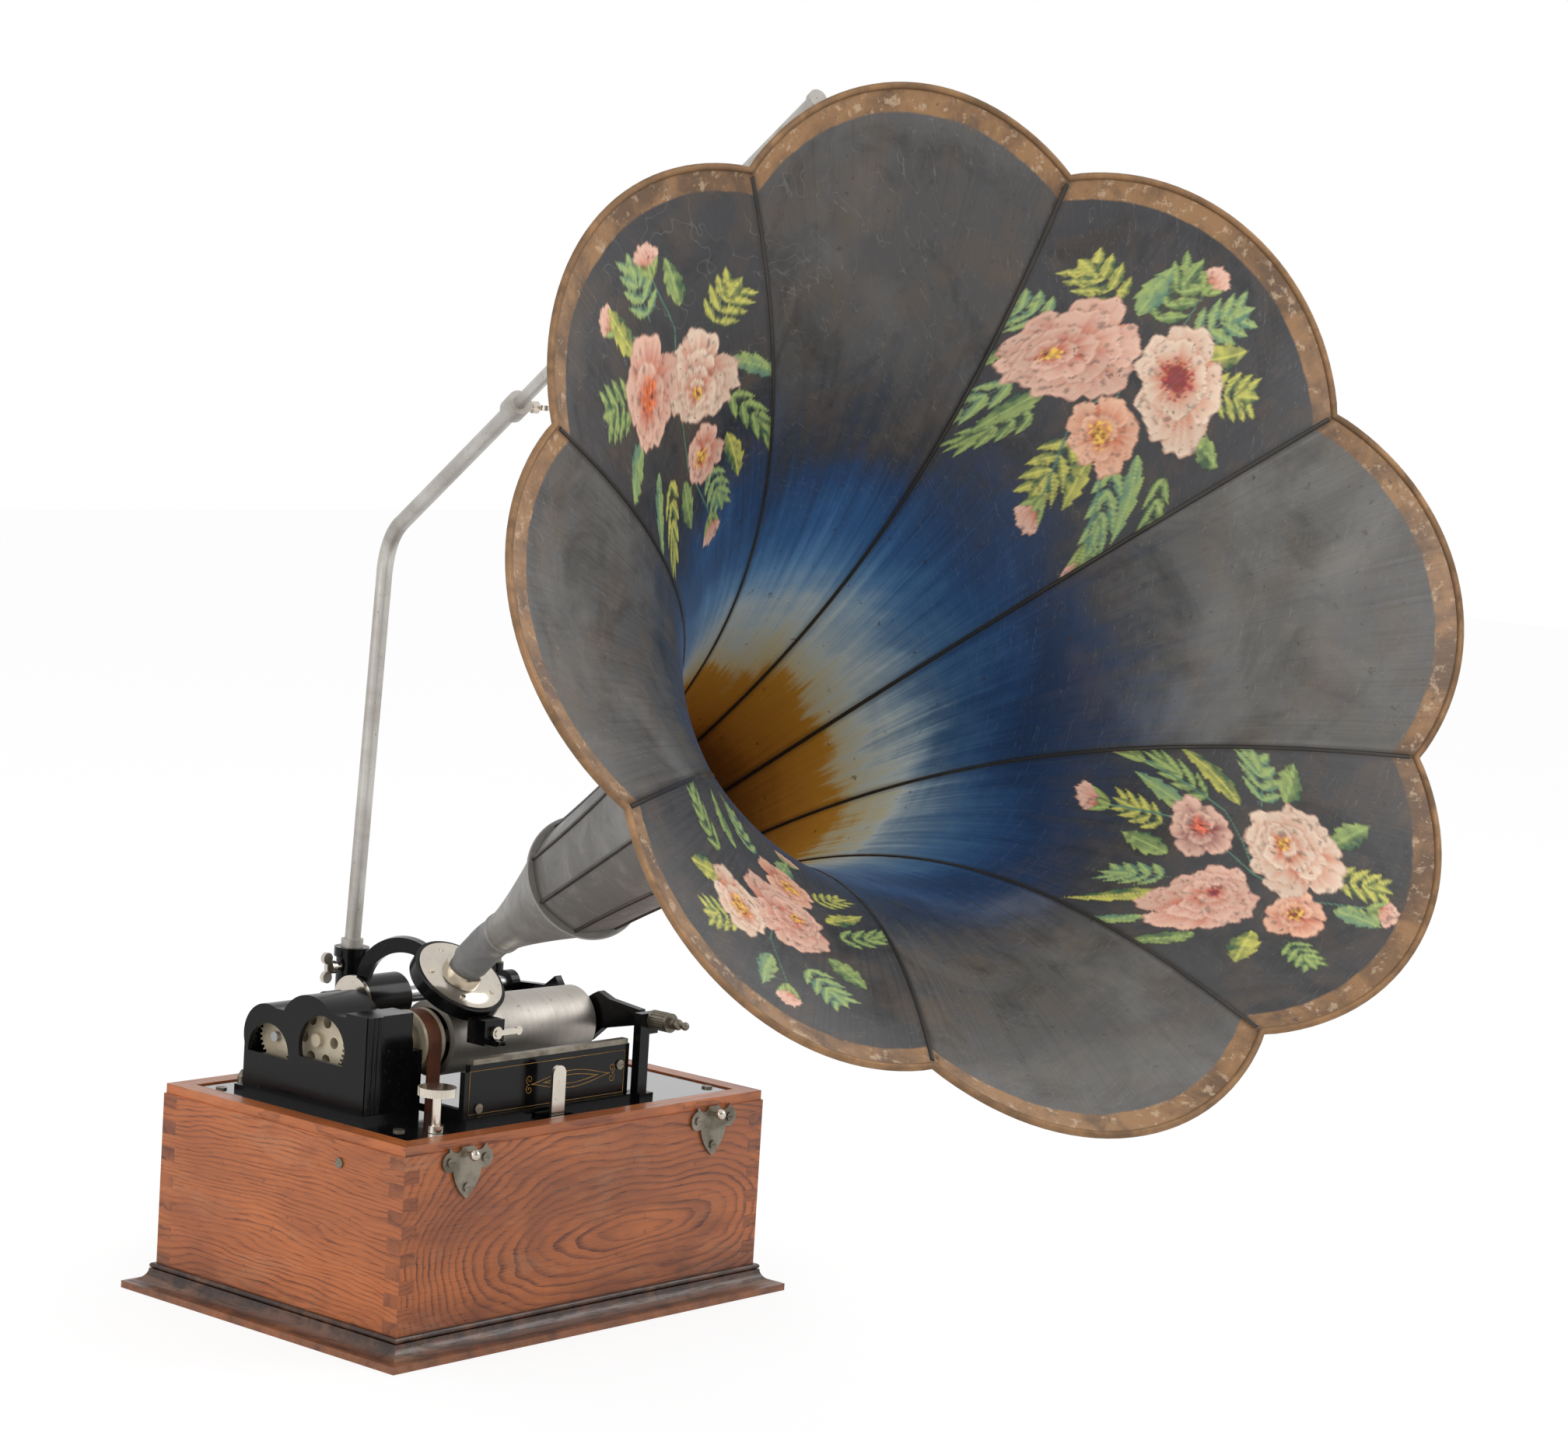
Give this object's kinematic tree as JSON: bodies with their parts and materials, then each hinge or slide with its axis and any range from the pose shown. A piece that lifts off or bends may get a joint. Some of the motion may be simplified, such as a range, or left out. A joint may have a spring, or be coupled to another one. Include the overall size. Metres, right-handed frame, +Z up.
{
  "type": "cylinder phonograph",
  "caption": "Table phonograph for wax cylinders: oak case, belt-driven mandrel, sliding reproducer carriage and a petalled flower horn hung from a crane.",
  "frame": {"origin": "centre of the case body at the underside of its base moulding", "axes": "+X to the player's right along the mandrel, +Y to the back of the case, +Z up"},
  "size_m": [0.7115, 0.8457, 0.7271],
  "materials": {
    "oak": "satin varnished oak",
    "dark_oak": "darker varnished oak",
    "japan": "glossy black japanning",
    "iron": "glossy black japanned iron",
    "nickel": "polished nickel plate",
    "steel": "turned steel",
    "brass": "cut brass",
    "belt": "worn brown leather",
    "rubber": "grey rubber",
    "horn_painted": "blue japanned sheet with painted flowers inside, grey outside",
    "horn_plain": "blue japanned sheet inside, grey outside",
    "horn_neck": "grey japanned sheet",
    "rim": "worn gold paint",
    "mica": "thin disc",
    "crane": "dull nickel plate"
  },
  "bodies": {
    "case": {"case_front": "oak", "case_back": "oak", "case_left": "oak", "case_right": "oak", "case_bottom": "dark_oak", "base_moulding": "dark_oak", "bed_frame": "oak", "case_plates": "nickel", "clasp_studs": "nickel", "case_screws": "nickel", "bedplate": "iron", "gear_cover": "japan", "gear_frame": "japan", "front_plate": "japan", "straight_edge": "nickel", "gate_post": "japan", "back_post": "japan", "back_rod": "steel", "belt_guide": "nickel", "drive_belt": "belt", "crane_bracket": "japan", "motor_frame": "steel"},
    "mandrel": {"mandrel": "nickel", "mandrel_pulley": "nickel", "mandrel_pinion": "steel"},
    "idler": {"idler_gear": "brass"},
    "feed": {"feed_gear": "brass", "feed_screw": "steel"},
    "motor_pulley": {"motor_pulley": "steel"},
    "centre_wheel": {"centre_gear": "brass"},
    "barrel": {"spring_barrel": "brass", "mainspring": "steel"},
    "governor": {"governor": "brass"},
    "arbor": {"winding_arbor": "steel"},
    "crank": {"crank": "japan"},
    "handle": {"crank_handle": "dark_oak"},
    "gate": {"end_gate": "japan", "gate_centre": "nickel"},
    "latch": {"gate_latch": "nickel"},
    "start_lever": {"start_lever": "nickel"},
    "speed_screw": {"speed_screw": "nickel"},
    "carriage": {"carriage_bush": "nickel"},
    "arm": {"carriage_arm": "japan", "half_nut": "brass", "guide_foot": "japan", "reproducer_body": "nickel", "diaphragm": "mica"},
    "weight": {"reproducer_weight": "nickel", "stylus_bar": "steel"},
    "lift_lever": {"lift_lever": "nickel"},
    "horn": {"horn_elbow": "rubber", "horn_neck": "horn_neck", "horn_petals_painted": "horn_painted", "horn_petals_plain": "horn_plain", "horn_rim": "rim"},
    "chain": {"horn_chain": "nickel"},
    "crane": {"crane_tube": "crane"},
    "crane_rod": {"crane_rod": "crane"},
    "tube_screw": {"tube_thumbscrew": "nickel"},
    "socket_screw": {"socket_thumbscrew": "nickel"}
  },
  "joints": [
    {"name": "mandrel_spin", "type": "hinge", "parent": "case", "child": "mandrel", "pos_m": [0, -0.016, 0.1648], "axis": [1, 0, 0], "continuous": true},
    {"name": "idler_spin", "type": "hinge", "parent": "case", "child": "idler", "pos_m": [-0.11, 0.014, 0.1648], "axis": [1, 0, 0], "continuous": true},
    {"name": "feed_spin", "type": "hinge", "parent": "case", "child": "feed", "pos_m": [0, 0.05078, 0.1608], "axis": [1, 0, 0], "continuous": true},
    {"name": "motor_pulley_spin", "type": "hinge", "parent": "case", "child": "motor_pulley", "pos_m": [-0.045, -0.016, 0.0898], "axis": [1, 0, 0], "continuous": true},
    {"name": "centre_wheel_spin", "type": "hinge", "parent": "case", "child": "centre_wheel", "pos_m": [-0.045, -0.0009, 0.06742], "axis": [1, 0, 0], "continuous": true},
    {"name": "barrel_spin", "type": "hinge", "parent": "case", "child": "barrel", "pos_m": [-0.02, 0.0451, 0.06742], "axis": [1, 0, 0], "continuous": true},
    {"name": "governor_spin", "type": "hinge", "parent": "case", "child": "governor", "pos_m": [-0.045, -0.03613, 0.07673], "axis": [1, 0, 0], "continuous": true},
    {"name": "crank_turn", "type": "hinge", "parent": "case", "child": "crank", "pos_m": [0.1696, 0.0091, 0.06742], "axis": [1, 0, 0], "continuous": true},
    {"name": "arbor_turn", "type": "hinge", "parent": "case", "child": "arbor", "pos_m": [-0.02, 0.0451, 0.06742], "axis": [1, 0, 0], "continuous": true},
    {"name": "handle_spin", "type": "hinge", "parent": "crank", "child": "handle", "pos_m": [0.1996, 0.0631, 0.06742], "axis": [1, 0, 0], "continuous": true},
    {"name": "gate_swing", "type": "hinge", "parent": "case", "child": "gate", "pos_m": [0.0753, 0.06, 0.1748], "axis": [0, 0, 1], "range_deg": [0, 95]},
    {"name": "latch_turn", "type": "hinge", "parent": "gate", "child": "latch", "pos_m": [0.0753, -0.085, 0.1748], "axis": [0, -1, 0], "range_deg": [-180, 180]},
    {"name": "start_lever_turn", "type": "hinge", "parent": "case", "child": "start_lever", "pos_m": [-0.011, -0.086, 0.1138], "axis": [0, 1, 0], "range_deg": [-10, 10]},
    {"name": "speed_screw_turn", "type": "hinge", "parent": "case", "child": "speed_screw", "pos_m": [-0.1067, -0.082, 0.1258], "axis": [0, 0, 1], "range_deg": [-180, 180]},
    {"name": "carriage_slide", "type": "slide", "parent": "case", "child": "carriage", "axis": [1, 0, 0], "range_m": [0, 0.08]},
    {"name": "carriage_lift", "type": "hinge", "parent": "carriage", "child": "arm", "pos_m": [-0.047, 0.038, 0.1798], "axis": [-1, 0, 0], "range_deg": [0, 4]},
    {"name": "weight_swing", "type": "hinge", "parent": "arm", "child": "weight", "pos_m": [-0.0387, -0.00697, 0.20688], "axis": [1, 0, 0], "range_deg": [0, 2.3]},
    {"name": "lift_lever_turn", "type": "hinge", "parent": "arm", "child": "lift_lever", "pos_m": [-0.0447, -0.064, 0.1755], "axis": [0, -1, 0], "range_deg": [0, 45]},
    {"name": "horn_pitch", "type": "hinge", "parent": "arm", "child": "horn", "pos_m": [-0.0387, -0.03223, 0.21103], "axis": [1, 0, 0], "range_deg": [0, 4.64]},
    {"name": "chain_swing", "type": "hinge", "parent": "horn", "child": "chain", "pos_m": [-0.18539, -0.42851, 0.56697], "axis": [0.9655, -0.1654, -0.2011], "range_deg": [0, 6.4]},
    {"name": "crane_swivel", "type": "hinge", "parent": "case", "child": "crane", "pos_m": [0.004, 0.116, 0.1958], "axis": [0, 0, 1], "range_deg": [0, 9.2]},
    {"name": "crane_rod_slide", "type": "slide", "parent": "crane", "child": "crane_rod", "axis": [-0.2855, -0.8372, 0.4665], "range_m": [0, 0.04]},
    {"name": "tube_screw_turn", "type": "hinge", "parent": "crane", "child": "tube_screw", "pos_m": [-0.03338, -0.05497, 0.54605], "axis": [0.9465, -0.3228, 0], "range_deg": [-180, 180]},
    {"name": "socket_screw_turn", "type": "hinge", "parent": "case", "child": "socket_screw", "pos_m": [-0.008, 0.116, 0.1838], "axis": [-1, 0, 0], "range_deg": [-180, 180]}
  ],
  "couplings": [
    {"joint": "idler_spin", "follows": "mandrel_spin", "ratio": -0.36364},
    {"joint": "feed_spin", "follows": "mandrel_spin", "ratio": 0.53333},
    {"joint": "motor_pulley_spin", "follows": "mandrel_spin", "ratio": 1},
    {"joint": "centre_wheel_spin", "follows": "mandrel_spin", "ratio": -0.28571},
    {"joint": "barrel_spin", "follows": "mandrel_spin", "ratio": 0.042857},
    {"joint": "governor_spin", "follows": "mandrel_spin", "ratio": -3},
    {"joint": "arbor_turn", "follows": "crank_turn", "ratio": -0.5},
    {"joint": "carriage_lift", "follows": "horn_pitch", "ratio": 0.86207},
    {"joint": "lift_lever_turn", "follows": "horn_pitch", "ratio": 9.4828},
    {"joint": "crane_swivel", "follows": "carriage_slide", "rad_per_m": 1.985},
    {"joint": "chain_swing", "follows": "carriage_slide", "rad_per_m": 1.3632}
  ]
}
